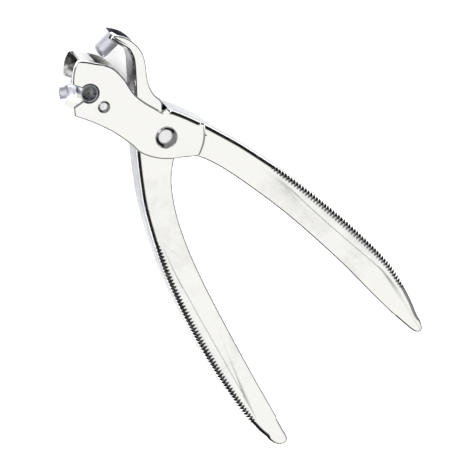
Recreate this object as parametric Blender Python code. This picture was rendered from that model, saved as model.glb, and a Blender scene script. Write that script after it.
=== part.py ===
"""Snap setter pliers: two crossed levers pressed from sheet steel as U-channels, on one rivet.

Units in the constants are millimetres. The pivot axis is +Z through the origin, +X runs from the nose to
the handles, +Y points to the side of the upper jaw, and z = 0 is the flat end of the pivot rivet, which the
pliers lie on. The lower lever is fixed. The upper lever turns about the pivot, and the setter post about the
axis of its sleeve.
"""

import math

import bmesh
import bpy
from mathutils import Matrix, Vector

MM = 0.001

# Sheet and overall section
SHEET = 1.1
HEAD_WIDTH = 14.5
HANDLE_WIDTH = 12.3
INNER_WIDTH = 11.7
EDGE_RADIUS = 0.15
BACK_RADIUS = 2.4
NECK_RADIUS = 1.3
BRIDGE_RADIUS = 1.2
JOGGLE_RADIUS = 14.4
HUB_RADIUS = 7.5
CUT_THROUGH = 2.0
ROUND_STEPS = 3

# Pivot
RIVET_RADIUS = 2.5
RIVET_HOLE_RADIUS = 2.6
RIVET_HEAD_RADIUS = 4.0
RIVET_HEAD_HEIGHT = 1.5
RIVET_FOOT_HEIGHT = 1.2
BUSH_RADIUS = 3.5
SEAT_GAP = 0.05
Z_MID = RIVET_FOOT_HEIGHT + SEAT_GAP + HEAD_WIDTH / 2

# Nose
POST_PIVOT = Vector((-32.7, -4.3))
POST_ANGLE = math.radians(226)
SLEEVE_RADIUS = 3.1
SLEEVE_BORE = 2.6
SLEEVE_HOLE_RADIUS = 3.2
NOTCH_START = 1.0
NOTCH_END = 16.0
NOTCH_HALF_START = 1.6
NOTCH_HALF_END = 9.4
POST_RADIUS = 2.4
POST_HEAD_RADIUS = 3.15
POST_HEAD_HEIGHT = 3.3
POST_REACH = 10.0
POST_SPIGOT_RADIUS = 1.4
NOSE_RIVET = Vector((-25.4, -4.9))
NOSE_RIVET_RADIUS = 1.5
NOSE_RIVET_HEAD = 2.2
NOSE_SPACER_RADIUS = 2.3
DETENT_THICKNESS = 0.4
DETENT_WIDTH = 6.0

# Upper die, which is stepped so that its rear half sits under the web of the hook
DIE_TOP = Vector((-37.2, 16.2))
DIE_ANGLE = math.radians(-96)
DIE_RADIUS = 3.9
DIE_LENGTH = 8.0
DIE_CUP_RADIUS = 2.6
DIE_CUP_DEPTH = 1.2
DIE_NOSE_RADIUS = 1.2
DIE_SEAT = Vector((-36.0, 15.0))
DIE_SEAT_ANGLE = math.radians(-84)
DIE_STEP_FRONT = 2.95
DIE_RIVET_RADIUS = 1.2
DIE_RIVET_HEAD = 2.1
DIE_RIVET_DEPTH = 4.0
SNAP_RING_RADIUS = 2.25
SNAP_RING_WIRE = 0.25

# Return spring
SPRING_RADIUS = 4.7
SPRING_WIRE = 0.5
SPRING_TURNS = 3.55
SPRING_PITCH = 1.35

NICKEL = (0.86, 0.86, 0.84)
STEEL = (0.55, 0.56, 0.58)


def clear_scene():
    for obj in list(bpy.data.objects):
        bpy.data.objects.remove(obj, do_unlink=True)


def metal(name, colour, roughness):
    material = bpy.data.materials.new(name)
    material.use_nodes = True
    shader = material.node_tree.nodes["Principled BSDF"]
    shader.inputs["Base Color"].default_value = (*colour, 1)
    shader.inputs["Metallic"].default_value = 1
    shader.inputs["Roughness"].default_value = roughness
    material.diffuse_color = (*colour, 1)
    return material


def add_object(name, bm, material=None, parent=None):
    """The mesh is built in world millimetres, and moved so that its origin is its parent's."""
    bmesh.ops.remove_doubles(bm, verts=bm.verts, dist=1e-4)
    bmesh.ops.recalc_face_normals(bm, faces=bm.faces)
    origin = parent.location / MM if parent else Vector()
    bmesh.ops.translate(bm, verts=bm.verts, vec=-origin)
    bmesh.ops.scale(bm, verts=bm.verts, vec=(MM, MM, MM))
    mesh = bpy.data.meshes.new(name)
    bm.to_mesh(mesh)
    bm.free()
    mesh.shade_smooth()
    mesh.set_sharp_from_angle(angle=math.radians(35))
    obj = bpy.data.objects.new(name, mesh)
    bpy.context.scene.collection.objects.link(obj)
    obj.parent = parent
    if material:
        mesh.materials.append(material)
    return obj


def combine(target, other, operation):
    other.hide_render = True
    other.display_type = "WIRE"
    modifier = target.modifiers.new(other.name, "BOOLEAN")
    modifier.operation = operation
    modifier.solver = "EXACT"
    modifier.object = other


def pivot_empty(name, x, y):
    empty = bpy.data.objects.new(name, None)
    empty.location = Vector((x, y, Z_MID)) * MM
    bpy.context.scene.collection.objects.link(empty)
    bpy.context.view_layer.update()
    return empty


# Plan outlines: lists of (x, y, edge radius), counter-clockwise. A radius of EDGE_RADIUS is a cut edge of
# the sheet, and a larger one is a bend, where the two walls turn into the web.


def arc(centre, radius, start, end, steps):
    angles = [math.radians(start + (end - start) * i / steps) for i in range(steps + 1)]
    return [(centre[0] + radius * math.cos(a), centre[1] + radius * math.sin(a)) for a in angles]


def smooth(points, steps):
    """A Catmull-Rom curve through the points, with this many spans between each two."""
    last = len(points) - 1
    curve = []
    for i in range(last):
        a, b, c, d = (Vector(points[max(0, min(last, i + k))]) for k in (-1, 0, 1, 2))
        for step in range(steps):
            t = step / steps
            curve.append(
                0.5 * (2 * b + (c - a) * t + (2 * a - 5 * b + 4 * c - d) * t**2)
                + 0.5 * (3 * b - a - 3 * c + d) * t**3
            )
    return [tuple(p) for p in curve] + [tuple(points[-1])]


def edges(points, radius=EDGE_RADIUS):
    return [(x, y, radius) for x, y in points]


def inward_normals(points):
    """The unit normal of the edge that starts at each point, to the inside of the outline."""
    normals = []
    for (x0, y0, *_), (x1, y1, *_) in zip(points, points[1:] + points[:1]):
        normals.append(Vector((y0 - y1, x1 - x0)).normalized())
    return normals


def block(name, outline, width, material=None, parent=None):
    """A plate of this width about mid-height, each edge rounded by its own radius."""
    normals = inward_normals(outline)
    angles = [math.pi / 2 * i / ROUND_STEPS for i in range(ROUND_STEPS + 1)]
    bm = bmesh.new()
    rings = []
    for side in (1, -1):
        for angle in angles if side == 1 else reversed(angles):
            ring = []
            for i, (x, y, radius) in enumerate(outline):
                before, after = normals[i - 1], normals[i]
                mitre = (before + after) / max(0.35, 1 + before.dot(after))
                point = Vector((x, y)) + mitre * radius * (1 - math.sin(angle))
                drop = radius * (1 - math.cos(angle))
                ring.append(bm.verts.new((*point, Z_MID + side * (width / 2 - drop))))
            rings.append(ring)
    for upper, lower in zip(rings, rings[1:]):
        for i in range(len(outline)):
            j = (i + 1) % len(outline)
            bm.faces.new((upper[i], upper[j], lower[j], lower[i]))
    bm.faces.new(rings[0])
    bm.faces.new(reversed(rings[-1]))
    return add_object(name, bm, material, parent)


def cavity_outline(outline):
    """The hollow of a channel: one sheet inside each bend, and past each cut edge so that it opens."""
    normals = inward_normals(outline)
    count = len(outline)
    bends = [outline[i][2] > EDGE_RADIUS and outline[(i + 1) % count][2] > EDGE_RADIUS for i in range(count)]
    result = []
    for i, (x, y, radius) in enumerate(outline):
        before, after = normals[i - 1], normals[i]
        d_before = SHEET if bends[i - 1] else -CUT_THROUGH
        d_after = SHEET if bends[i] else -CUT_THROUGH
        inner = max(radius - SHEET, EDGE_RADIUS) if d_before == d_after else EDGE_RADIUS
        cross = before.x * after.y - before.y * after.x
        if d_before == d_after:
            offsets = [(before + after) * d_after / max(0.35, 1 + before.dot(after))]
        elif abs(cross) > 0.5:
            offset_x = (d_before * after.y - d_after * before.y) / cross
            offset_y = (d_after * before.x - d_before * after.x) / cross
            offsets = [Vector((offset_x, offset_y))]
        else:
            offsets = [before * d_before, after * d_after]
        result += [(x + offset.x, y + offset.y, inner) for offset in offsets]
    return result


def channel_cutter(name, outline, width, parent=None):
    return block(name, cavity_outline(outline), width - 2 * SHEET, parent=parent)


# Turned pieces


def turned(name, profile, place, material=None, parent=None, segments=28, inner=None):
    """Revolves (radius, height) points about the local Z of place. inner is a bore's radius."""
    bm = bmesh.new()
    rows = []
    points = list(profile)
    if inner:
        points = [(inner, profile[0][1])] + points + [(inner, profile[-1][1])]
    for radius, height in points:
        if radius == 0:
            rows.append([bm.verts.new(place @ Vector((0, 0, height)))])
            continue
        turns = [2 * math.pi * i / segments for i in range(segments)]
        ring = [Vector((radius * math.cos(a), radius * math.sin(a), height)) for a in turns]
        rows.append([bm.verts.new(place @ point) for point in ring])
    pairs = list(zip(rows, rows[1:])) + ([(rows[-1], rows[0])] if inner else [])
    for lower, upper in pairs:
        for i in range(segments):
            j = (i + 1) % segments
            if len(lower) == 1:
                bm.faces.new((lower[0], upper[j], upper[i]))
            elif len(upper) == 1:
                bm.faces.new((lower[i], lower[j], upper[0]))
            else:
                bm.faces.new((lower[i], lower[j], upper[j], upper[i]))
    return add_object(name, bm, material, parent)


def upright(x, y, z=0.0):
    return Matrix.Translation((x, y, z))


def lying(x, y, angle):
    """A frame at mid-height whose Z points along this direction of the plane."""
    turn = Matrix.Rotation(angle, 4, "Z") @ Matrix.Rotation(math.pi / 2, 4, "Y")
    return Matrix.Translation((x, y, Z_MID)) @ turn


def rod_profile(radius, bottom, top):
    return [(0, bottom), (radius, bottom), (radius, top), (0, top)]


def dome_profile(shank, head, height, bottom, top, foot, foot_height):
    """A rivet: a formed flat foot, the shank from bottom to top, and a domed head."""
    dome = [(head * math.cos(a), top + height * math.sin(a)) for a in (0.0, 0.35, 0.7, 1.05, 1.35)]
    flat = bottom - foot_height
    lower = [(0, flat), (foot * 0.75, flat), (foot, flat + 0.5 * foot_height), (foot, bottom)]
    return lower + [(shank, bottom), (shank, top)] + dome + [(0, top + height)]


def wire(name, path, axis, radius, sides, material, parent=None):
    """A round wire along a smooth path of world points. The axis is never parallel to the path."""
    bm = bmesh.new()
    rings = []
    for i, point in enumerate(path):
        ahead = path[min(i + 1, len(path) - 1)] - path[max(i - 1, 0)]
        across = ahead.cross(axis).normalized()
        up = across.cross(ahead).normalized()
        turns = [2 * math.pi * k / sides for k in range(sides)]
        offsets = [radius * (across * math.cos(a) + up * math.sin(a)) for a in turns]
        rings.append([bm.verts.new(point + offset) for offset in offsets])
    for first, second in zip(rings, rings[1:]):
        for k in range(sides):
            m = (k + 1) % sides
            bm.faces.new((first[k], first[m], second[m], second[k]))
    bm.faces.new(rings[0])
    bm.faces.new(reversed(rings[-1]))
    return add_object(name, bm, material, parent)


# Levers


def lower_head_outline():
    below = [(-31.6, -13.7), (-24.2, -11.4), (-16.4, -9.9), (-8.7, -9.5), (-4.8, -9.8), (-1.4, -9.2)]
    crotch = [(2.8, -7.5), (6.9, -4.7), (10.2, -1.6)]
    joggle = arc((0, 0), JOGGLE_RADIUS, 4, 57, 8)
    back = [(4.6, 11.4), (1.4, 10.7), (-2.6, 9.6), (-6.6, 8.4)]
    top = [(-7.0, 6.1), (-10.6, 5.5), (-15.0, 5.0)]
    crest = [(-19.4, 5.1), (-22.9, 6.0), (-26.3, 7.1), (-31.7, 7.6), (-36.2, 6.3)]
    bridge = [(-37.9, 5.5), (-40.6, 4.2), (-42.9, 2.8)]
    front = [(-43.5, 1.9), (-42.3, -1.6), (-40.5, -4.2), (-32.2, -13.4)]
    return (
        edges(smooth(below + crotch, 2))
        + edges(joggle, SHEET)
        + edges(back, BACK_RADIUS)
        + edges(top)
        + edges(smooth(crest, 2))
        + edges(bridge, BRIDGE_RADIUS)
        + edges(front)
    )


def lower_handle_outline():
    inner = [(13.6, 0.9), (17.8, 2.4), (26.9, 3.7), (40.9, 4.4), (55.1, 4.5), (70.3, 3.8), (85.8, 2.6)]
    inner += [(100.6, 0.8)]
    inner_end = [(114.0, -0.6), (118.5, -0.9), (122.5, -1.0)]
    tip = [(125.2, -0.6), (126.6, 0.7), (126.0, 2.4), (123.0, 4.4)]
    outer = [(117.0, 7.6), (110.2, 10.4), (98.3, 13.8), (82.4, 15.6), (67.4, 16.3), (52.9, 16.3)]
    head_end = [(38.7, 15.8), (25.4, 14.7), (15.5, 13.3), (7.4, 11.9)]
    start = arc((0, 0), 13.7, 56, 8, 5)
    return (
        edges(smooth(inner + inner_end[:1], 2)[:-1])
        + edges(inner_end + tip, NECK_RADIUS)
        + edges(smooth(outer + head_end, 2), BACK_RADIUS)
        + edges(start)
    )


def upper_outline():
    hook = [(-38.5, 14.74), (-36.0, 15.0), (-33.4, 15.27), (-31.2, 15.5), (-29.2, 14.9)]
    neck = [(-26.8, 13.4), (-22.4, 9.0), (-18.0, 4.2), (-13.2, -1.2), (-8.8, -6.4)]
    outer = [(-4.1, -11.2), (4.1, -18.8), (12.0, -25.4), (22.7, -32.7), (35.2, -40.0), (49.7, -47.1)]
    outer_end = [(63.1, -52.7), (76.4, -57.5), (89.9, -61.5), (99.5, -63.8), (106.5, -64.2)]
    tip = [(110.2, -63.6), (112.2, -62.2), (112.8, -60.2), (111.4, -58.6)]
    inner_end = [(108.2, -57.4), (104.2, -55.8)]
    inner = [(100.4, -54.3), (88.1, -49.6), (74.8, -44.3), (60.7, -38.5), (47.4, -32.8), (34.2, -26.4)]
    crotch = [(22.7, -19.5), (13.8, -12.2), (9.4, -6.6)]
    hub = arc((0, 0), HUB_RADIUS, -18, 116, 8)
    rear = [(-7.0, 6.6), (-8.0, 8.2), (-10.2, 9.0), (-13.2, 9.2), (-16.4, 10.4), (-19.4, 12.6)]
    crown = [(-22.4, 15.4), (-26.0, 17.9), (-30.0, 18.9), (-34.0, 18.7), (-37.2, 17.5), (-38.9, 16.6)]
    return (
        edges(smooth(hook + neck[:3], 2)[:-1], NECK_RADIUS)
        + edges(smooth(neck[2:] + outer[:2], 2)[:-1], (NECK_RADIUS + BACK_RADIUS) / 2)
        + edges(smooth(outer[1:] + outer_end, 2), BACK_RADIUS)
        + edges(tip + inner_end, NECK_RADIUS)
        + edges(smooth(inner + crotch, 2))
        + edges(hub)
        + edges(rear)
        + edges(smooth(crown, 2))
    )


def keyhole():
    """Cuts the round holes of the cross sleeve and the notches that run from them to the front."""
    hole = turned("keyhole", rod_profile(SLEEVE_HOLE_RADIUS, 0, 2 * Z_MID), upright(*POST_PIVOT))
    across = Vector((-math.sin(POST_ANGLE), math.cos(POST_ANGLE)))
    along = Vector((math.cos(POST_ANGLE), math.sin(POST_ANGLE)))
    corners = (
        (NOTCH_START, NOTCH_HALF_START),
        (NOTCH_END, NOTCH_HALF_END),
        (NOTCH_END, -NOTCH_HALF_END),
        (NOTCH_START, -NOTCH_HALF_START),
    )
    bm = bmesh.new()
    plan = [POST_PIVOT + along * far + across * side for far, side in corners]
    bottom = [bm.verts.new((*p, 0)) for p in plan]
    bm.faces.new(bottom)
    raised = bmesh.ops.extrude_face_region(bm, geom=list(bm.faces))
    bmesh.ops.translate(
        bm, vec=(0, 0, 2 * Z_MID), verts=[v for v in raised["geom"] if isinstance(v, bmesh.types.BMVert)]
    )
    combine(hole, add_object("notch", bm), "UNION")
    return hole


def build_lower_lever(nickel):
    head, handle = lower_head_outline(), lower_handle_outline()
    lever = block("lower_lever", head, HEAD_WIDTH, nickel)
    combine(lever, block("lower_handle", handle, HANDLE_WIDTH), "UNION")
    combine(lever, channel_cutter("head_hollow", head, HEAD_WIDTH), "DIFFERENCE")
    combine(lever, channel_cutter("handle_hollow", handle, HANDLE_WIDTH), "DIFFERENCE")
    combine(lever, keyhole(), "DIFFERENCE")
    for name, centre, radius in (
        ("pivot_hole", (0, 0), RIVET_HOLE_RADIUS),
        ("nose_hole", NOSE_RIVET, NOSE_RIVET_RADIUS + 0.05),
    ):
        combine(lever, turned(name, rod_profile(radius, 0, 2 * Z_MID), upright(*centre)), "DIFFERENCE")
    return lever


def build_upper_lever(nickel, parent):
    outline = upper_outline()
    lever = block("upper_lever", outline, INNER_WIDTH, nickel, parent)
    combine(lever, channel_cutter("inner_hollow", outline, INNER_WIDTH, parent), "DIFFERENCE")
    hole = turned("hub_hole", rod_profile(RIVET_HOLE_RADIUS, 0, 2 * Z_MID), upright(0, 0), parent=parent)
    combine(lever, hole, "DIFFERENCE")
    seat = lying(*DIE_SEAT, DIE_SEAT_ANGLE)
    stem = turned("die_hole", rod_profile(DIE_RIVET_RADIUS + SEAT_GAP, -2, 2), seat, parent=parent)
    combine(lever, stem, "DIFFERENCE")
    return lever


def build_pivot(nickel, steel):
    bottom, top = Z_MID - HEAD_WIDTH / 2 - SEAT_GAP, Z_MID + HEAD_WIDTH / 2 + SEAT_GAP
    rivet = dome_profile(
        RIVET_RADIUS, RIVET_HEAD_RADIUS, RIVET_HEAD_HEIGHT, bottom, top, RIVET_HEAD_RADIUS, RIVET_FOOT_HEIGHT
    )
    turned("pivot_rivet", rivet, upright(0, 0), nickel, segments=32)
    reach = INNER_WIDTH / 2 - SHEET - SEAT_GAP
    turned(
        "pivot_bush",
        [(BUSH_RADIUS, Z_MID - reach), (BUSH_RADIUS, Z_MID + reach)],
        upright(0, 0),
        steel,
        inner=RIVET_HOLE_RADIUS,
    )


def build_return_spring(steel):
    """Coils on the bush, with one leg under the back of each handle."""
    steps = 46
    start = math.radians(62)
    sweep = 2 * math.pi * SPRING_TURNS
    rise = SPRING_TURNS * SPRING_PITCH
    coil = []
    for i in range(steps + 1):
        angle = start - sweep * i / steps
        height = Z_MID + rise / 2 - rise * i / steps
        coil.append(Vector((SPRING_RADIUS * math.cos(angle), SPRING_RADIUS * math.sin(angle), height)))
    first_leg = [Vector((x, y, coil[0].z)) for x, y in ((24.0, 12.4), (14.5, 9.9), (7.0, 6.7))]
    last_leg = [Vector((x, y, coil[-1].z)) for x, y in ((1.5, -9.8), (8.2, -19.9), (13.0, -23.9))]
    wire("return_spring", first_leg + coil + last_leg, Vector((0, 0, 1)), SPRING_WIRE, 6, steel)


def build_post(steel, parent):
    low, high = Z_MID - HEAD_WIDTH / 2 + 0.1, Z_MID + HEAD_WIDTH / 2 - 0.1
    sleeve = turned(
        "post_sleeve",
        [(SLEEVE_RADIUS, low), (SLEEVE_RADIUS, high)],
        upright(*POST_PIVOT),
        steel,
        parent,
        inner=SLEEVE_BORE,
    )
    place = lying(*POST_PIVOT, POST_ANGLE)
    seat = turned("spigot_hole", rod_profile(POST_SPIGOT_RADIUS + SEAT_GAP, 1.0, 6.0), place, parent=parent)
    combine(sleeve, seat, "DIFFERENCE")
    neck = POST_REACH - POST_HEAD_HEIGHT
    profile = [
        (0, SLEEVE_BORE - 0.1),
        (POST_SPIGOT_RADIUS, SLEEVE_BORE - 0.1),
        (POST_SPIGOT_RADIUS, SLEEVE_RADIUS + 0.1),
        (POST_RADIUS, SLEEVE_RADIUS + 0.1),
        (POST_RADIUS, neck),
        (POST_HEAD_RADIUS - 0.3, neck),
        (POST_HEAD_RADIUS, neck + 0.3),
        (POST_HEAD_RADIUS, POST_REACH - 0.4),
        (POST_HEAD_RADIUS - 0.4, POST_REACH),
        (0, POST_REACH),
    ]
    turned("setter_post", profile, place, steel, parent)


def build_nose_pieces(nickel, steel):
    bottom, top = Z_MID - HEAD_WIDTH / 2 - SEAT_GAP, Z_MID + HEAD_WIDTH / 2 + SEAT_GAP
    rivet = dome_profile(NOSE_RIVET_RADIUS, NOSE_RIVET_HEAD, 0.8, bottom, top, NOSE_RIVET_HEAD, 0.7)
    turned("nose_rivet", rivet, upright(*NOSE_RIVET), nickel, segments=24)
    reach = HEAD_WIDTH / 2 - SHEET - SEAT_GAP
    turned(
        "nose_spacer",
        [(NOSE_SPACER_RADIUS, Z_MID - reach), (NOSE_SPACER_RADIUS, Z_MID + reach)],
        upright(*NOSE_RIVET),
        steel,
        segments=24,
        inner=NOSE_RIVET_RADIUS + 0.05,
    )
    wrap = NOSE_SPACER_RADIUS + DETENT_THICKNESS / 2 + SEAT_GAP
    over = SLEEVE_RADIUS + DETENT_THICKNESS / 2 + 0.1
    middle = arc(NOSE_RIVET, wrap, -120, 84, 9) + [(-29.0, -1.7), tuple(POST_PIVOT + Vector((0.3, over)))]
    middle.append((-34.6, -1.0))
    bm = bmesh.new()
    strips = [[], []]
    for i, point in enumerate(middle):
        ahead = Vector(middle[min(i + 1, len(middle) - 1)]) - Vector(middle[max(i - 1, 0)])
        side = Vector((-ahead.y, ahead.x)).normalized() * DETENT_THICKNESS / 2
        for strip, sign in zip(strips, (1, -1)):
            strip.append(bm.verts.new((*(Vector(point) + side * sign), Z_MID - DETENT_WIDTH / 2)))
    left, right = strips
    faces = [bm.faces.new((left[i], left[i + 1], right[i + 1], right[i])) for i in range(len(middle) - 1)]
    raised = bmesh.ops.extrude_face_region(bm, geom=faces)
    bmesh.ops.translate(
        bm, vec=(0, 0, DETENT_WIDTH), verts=[v for v in raised["geom"] if isinstance(v, bmesh.types.BMVert)]
    )
    add_object("detent_spring", bm, steel)


def build_die(nickel, steel, parent):
    place, seat = lying(*DIE_TOP, DIE_ANGLE), lying(*DIE_SEAT, DIE_SEAT_ANGLE)
    nose = [
        (DIE_RADIUS - DIE_NOSE_RADIUS * (1 - math.cos(a)), DIE_LENGTH - DIE_NOSE_RADIUS * (1 - math.sin(a)))
        for a in (0.0, math.pi / 6, math.pi / 3, math.pi / 2)
    ]
    floor = DIE_LENGTH - DIE_CUP_DEPTH
    cup = [(DIE_CUP_RADIUS, DIE_LENGTH), (DIE_CUP_RADIUS, floor), (0, floor)]
    profile = [(0, 0), (DIE_RADIUS - 0.4, 0), (DIE_RADIUS, 0.4)] + nose + cup
    die = turned("upper_die", profile, place, nickel, parent)
    bm = bmesh.new()
    bmesh.ops.create_cube(bm, size=1)
    step = Matrix.Translation((0, 6 - DIE_STEP_FRONT / 2, SEAT_GAP - 6)) @ Matrix.Diagonal(
        (24, 12 + DIE_STEP_FRONT, 12, 1)
    )
    bmesh.ops.transform(bm, matrix=seat @ step, verts=bm.verts)
    combine(die, add_object("die_step", bm, parent=parent), "DIFFERENCE")
    bore = rod_profile(DIE_RIVET_RADIUS + SEAT_GAP, -1.0, DIE_RIVET_DEPTH + SEAT_GAP)
    combine(die, turned("die_bore", bore, seat, parent=parent), "DIFFERENCE")

    under = -SHEET - SEAT_GAP
    rivet = [(0, DIE_RIVET_DEPTH), (DIE_RIVET_RADIUS, DIE_RIVET_DEPTH), (DIE_RIVET_RADIUS, under)]
    head = [(DIE_RIVET_HEAD, under), (DIE_RIVET_HEAD, under - 0.5), (DIE_RIVET_HEAD * 0.7, under - 0.9)]
    turned("die_rivet", rivet + head + [(0, under - 1.0)], seat, steel, parent, segments=24)
    plan = arc((0, 0), SNAP_RING_RADIUS, 20, 340, 22)
    ring = [place @ Vector((x, y, floor + DIE_CUP_DEPTH / 2)) for x, y in plan]
    axis = Vector((math.cos(DIE_ANGLE), math.sin(DIE_ANGLE), 0))
    wire("die_snap_ring", ring, axis, SNAP_RING_WIRE, 8, steel, parent)


def main():
    clear_scene()
    nickel = metal("polished_nickel", NICKEL, 0.12)
    steel = metal("plain_steel", STEEL, 0.28)
    jaw_pivot = pivot_empty("jaw_pivot", 0, 0)
    post_pivot = pivot_empty("post_pivot", *POST_PIVOT)
    build_lower_lever(nickel)
    build_upper_lever(nickel, jaw_pivot)
    build_pivot(nickel, steel)
    build_return_spring(steel)
    build_post(steel, post_pivot)
    build_nose_pieces(nickel, steel)
    build_die(nickel, steel, jaw_pivot)


main()
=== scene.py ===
"""Looks of the snap setter pliers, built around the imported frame.

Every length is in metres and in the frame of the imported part: the pivot axis is +Z through the origin, +X
runs from the nose to the handles and +Y points to the side of the upper jaw. Plan outlines are written in
millimetres and turned into metres by ``MM``.

Each piece replaces its CAD node with a finer surface. A surface is a grid of points, worked out with numpy
from two parameters, and every grid closes on itself, so that its faces enclose the metal.
"""

import logging
from dataclasses import dataclass, field
from enum import Enum
from functools import cached_property

import bmesh
import bpy
import numpy as np
from mathutils import Matrix, Vector

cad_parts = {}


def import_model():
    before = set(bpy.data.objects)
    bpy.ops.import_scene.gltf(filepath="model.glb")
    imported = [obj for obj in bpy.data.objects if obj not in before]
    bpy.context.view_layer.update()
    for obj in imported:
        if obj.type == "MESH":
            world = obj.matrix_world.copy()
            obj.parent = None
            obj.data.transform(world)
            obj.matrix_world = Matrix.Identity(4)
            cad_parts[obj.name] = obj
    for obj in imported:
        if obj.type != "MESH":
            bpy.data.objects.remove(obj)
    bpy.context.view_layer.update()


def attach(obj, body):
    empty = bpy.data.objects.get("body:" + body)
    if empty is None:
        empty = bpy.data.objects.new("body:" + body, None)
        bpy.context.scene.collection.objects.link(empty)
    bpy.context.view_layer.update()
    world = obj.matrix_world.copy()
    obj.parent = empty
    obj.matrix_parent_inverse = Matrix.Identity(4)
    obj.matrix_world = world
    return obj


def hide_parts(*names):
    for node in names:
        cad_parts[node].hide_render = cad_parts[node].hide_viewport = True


MM = 0.001
LOG = logging.getLogger("snap_setter")
Value = float | bpy.types.NodeSocket

SHEET = 1.1 * MM
HEAD_WIDTH = 14.5 * MM
HANDLE_WIDTH = 12.3 * MM
INNER_WIDTH = 11.7 * MM
MID_HEIGHT = 1.25 * MM + HEAD_WIDTH / 2
SEAT_GAP = 0.05 * MM
POST_AXIS = (-32.7, -4.3)
POST_DIRECTION = 226.0
NOSE_RIVET_AXIS = (-25.4, -4.9)


class Body(Enum):
    """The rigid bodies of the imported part."""

    LOWER = "lower"
    UPPER_JAW = "upper_jaw"
    POST = "post"


class Slot(Enum):
    """The record's material slots."""

    NICKEL = "polished_nickel"
    STEEL = "plain_steel"


class Edge(Enum):
    """What a lever's outline is: a cut edge of the sheet, or a bend where the wall turns into the web."""

    CUT = 0
    BEND = 1


# Meshes


def add_mesh(name: str, points: np.ndarray, faces: list, sharp: float = 35.0) -> bpy.types.Object:
    """Makes an object at the origin whose mesh holds these points and faces, turned to the outside.

    Args:
        name: The object's name.
        points: An (n, 3) array of places in metres.
        faces: Arrays of point numbers, one row for each face, or lists for faces with many corners.
        sharp: Edges with a larger angle than this, in degrees, stay sharp.

    Returns:
        The new object.
    """
    mesh = bpy.data.meshes.new(name)
    rows = []
    for group in faces:
        rows.extend(group.tolist() if isinstance(group, np.ndarray) else group)
    mesh.from_pydata(points.tolist(), [], rows)
    mesh.update()
    bm = bmesh.new()
    bm.from_mesh(mesh)
    bmesh.ops.recalc_face_normals(bm, faces=bm.faces)
    bm.to_mesh(mesh)
    bm.free()
    mesh.shade_smooth()
    mesh.set_sharp_from_angle(angle=np.radians(sharp))
    obj = bpy.data.objects.new(name, mesh)
    bpy.context.scene.collection.objects.link(obj)
    return obj


def write_attribute(obj: bpy.types.Object, name: str, values: np.ndarray) -> None:
    """Stores one number for each point of the mesh, under this name."""
    attribute = obj.data.attributes.new(name, "FLOAT", "POINT")
    attribute.data.foreach_set("value", values.astype(np.float32))


def grid_faces(rows: int, columns: int, closed_rows: bool, closed_columns: bool) -> np.ndarray:
    """Joins neighbours on a grid of points, numbered row by row, into four-sided faces.

    Args:
        rows: How many rows the grid has.
        columns: How many points each row has.
        closed_rows: Whether the last row joins the first.
        closed_columns: Whether the last point of a row joins its first.

    Returns:
        An (n, 4) array of point numbers.
    """
    r = np.arange(rows if closed_rows else rows - 1)[:, None]
    c = np.arange(columns if closed_columns else columns - 1)[None, :]
    r2, c2 = (r + 1) % rows, (c + 1) % columns
    corners = (r * columns + c, r * columns + c2, r2 * columns + c2, r2 * columns + c)
    shape = (r.shape[0], c.shape[1])
    return np.stack([np.broadcast_to(corner, shape) for corner in corners], -1).reshape(-1, 4)


def end_faces(rows: int, columns: int) -> list:
    """The flat faces that close the first and the last row of a grid."""
    loop = np.arange(columns)
    return [loop.tolist(), (loop + (rows - 1) * columns).tolist()]


def spline(points: np.ndarray, spans: int) -> np.ndarray:
    """A Catmull-Rom curve: each stretch is a cubic whose end slopes are half the chord across its ends.

    Args:
        points: An (n, k) array.
        spans: How many pieces each stretch between two points is cut into.

    Returns:
        An ((n - 1) * spans + 1, k) array that passes through every point.
    """
    padded = np.vstack([points[:1], points, points[-1:]])
    a, b, c, d = (k[:, None, :] for k in (padded[:-3], padded[1:-2], padded[2:-1], padded[3:]))
    t = (np.arange(spans) / spans)[None, :, None]
    even = 2 * b + (2 * a - 5 * b + 4 * c - d) * t**2
    odd = (c - a) * t + (3 * b - a - 3 * c + d) * t**3
    return np.vstack([(0.5 * (even + odd)).reshape(-1, points.shape[1]), points[-1:]])


def arc(centre: tuple, radius: float, start: float, end: float, spans: int) -> np.ndarray:
    """Points on a circle, from the start to the end angle in degrees."""
    turn = np.radians(np.linspace(start, end, spans + 1))
    return np.stack([centre[0] + radius * np.cos(turn), centre[1] + radius * np.sin(turn)], -1)


def rounded(profile: np.ndarray, radius: float, spans: int = 4, closed: bool = False) -> np.ndarray:
    """Replaces each corner with a parabola that leaves its two sides at up to this distance from it.

    Args:
        profile: An (n, 2) array of corners.
        radius: The distance, cut down to 0.45 of a short side.
        spans: How many pieces a corner is cut into.
        closed: Whether the last corner joins the first.

    Returns:
        The points of the rounded profile.
    """
    before, after = np.roll(profile, 1, axis=0), np.roll(profile, -1, axis=0)
    to_before, to_after = before - profile, after - profile
    size = np.stack([np.linalg.norm(to_before, axis=1), np.linalg.norm(to_after, axis=1)])
    share = np.minimum(radius / np.maximum(size, 1e-12), 0.45)[..., None]
    start, end = profile + to_before * share[0], profile + to_after * share[1]
    t = np.linspace(0, 1, spans + 1)[None, :, None]
    corners = start[:, None] * (1 - t) ** 2 + 2 * profile[:, None] * t * (1 - t) + end[:, None] * t**2
    if closed:
        return corners.reshape(-1, 2)
    return np.vstack([profile[:1], corners[1:-1].reshape(-1, 2), profile[-1:]])


def upright(x: float, y: float) -> Matrix:
    """A frame at mid-height with its Z up, at these millimetres in plan."""
    return Matrix.Translation((x * MM, y * MM, MID_HEIGHT))


def lying(x: float, y: float, degrees: float) -> Matrix:
    """A frame at mid-height whose Z points along this direction of the plan, and whose X points down."""
    turn = Matrix.Rotation(np.radians(degrees), 4, "Z") @ Matrix.Rotation(np.pi / 2, 4, "Y")
    return upright(x, y) @ turn


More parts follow.
